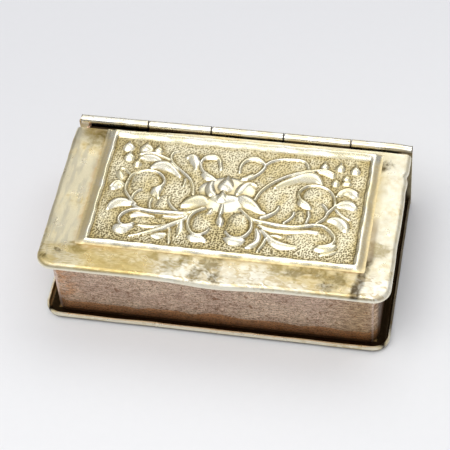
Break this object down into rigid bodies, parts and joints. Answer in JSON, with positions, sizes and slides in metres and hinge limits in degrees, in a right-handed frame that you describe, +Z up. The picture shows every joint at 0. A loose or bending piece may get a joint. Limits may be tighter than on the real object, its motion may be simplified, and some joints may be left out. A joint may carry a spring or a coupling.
{
  "type": "pill box",
  "caption": "Small hinged sheet-metal pill box shaped like a closed book, with an embossed plaque on the lid, a recessed copper wall and a tube hinge along the spine.",
  "frame": {"origin": "middle of the bottom of the closed box, on the surface it stands on", "axes": "+X along the hinge, to the right seen from the front; -Y towards the front lip; +Z up through the lid"},
  "size_m": [0.07, 0.0402, 0.0182],
  "materials": {
    "cover_metal": "worn and scratched, once bright plated",
    "plaque_metal": "stamped relief, dark in the recesses",
    "copper_wall": "scratched copper with brown tarnish",
    "hinge_metal": "worn, bright along the top",
    "inner_brass": "dull, unpolished",
    "pin_steel": "plain drawn wire"
  },
  "bodies": {
    "box": {"base_tray": "cover_metal", "wall_band": "copper_wall", "spine_plate": "cover_metal", "spine_bearer": "inner_brass", "knuckle_1": "hinge_metal", "knuckle_3": "hinge_metal", "knuckle_5": "hinge_metal", "hinge_pin": "pin_steel"},
    "lid": {"lid_cover": "cover_metal", "lid_flange": "inner_brass", "lid_bearer": "inner_brass", "lid_plaque": "plaque_metal", "knuckle_2": "hinge_metal", "knuckle_4": "hinge_metal"}
  },
  "joints": [
    {"name": "lid_hinge", "type": "hinge", "parent": "box", "child": "lid", "pos_m": [0, 0.01915, 0.0173], "axis": [-1, 0, 0], "range_deg": [0, 180]}
  ]
}
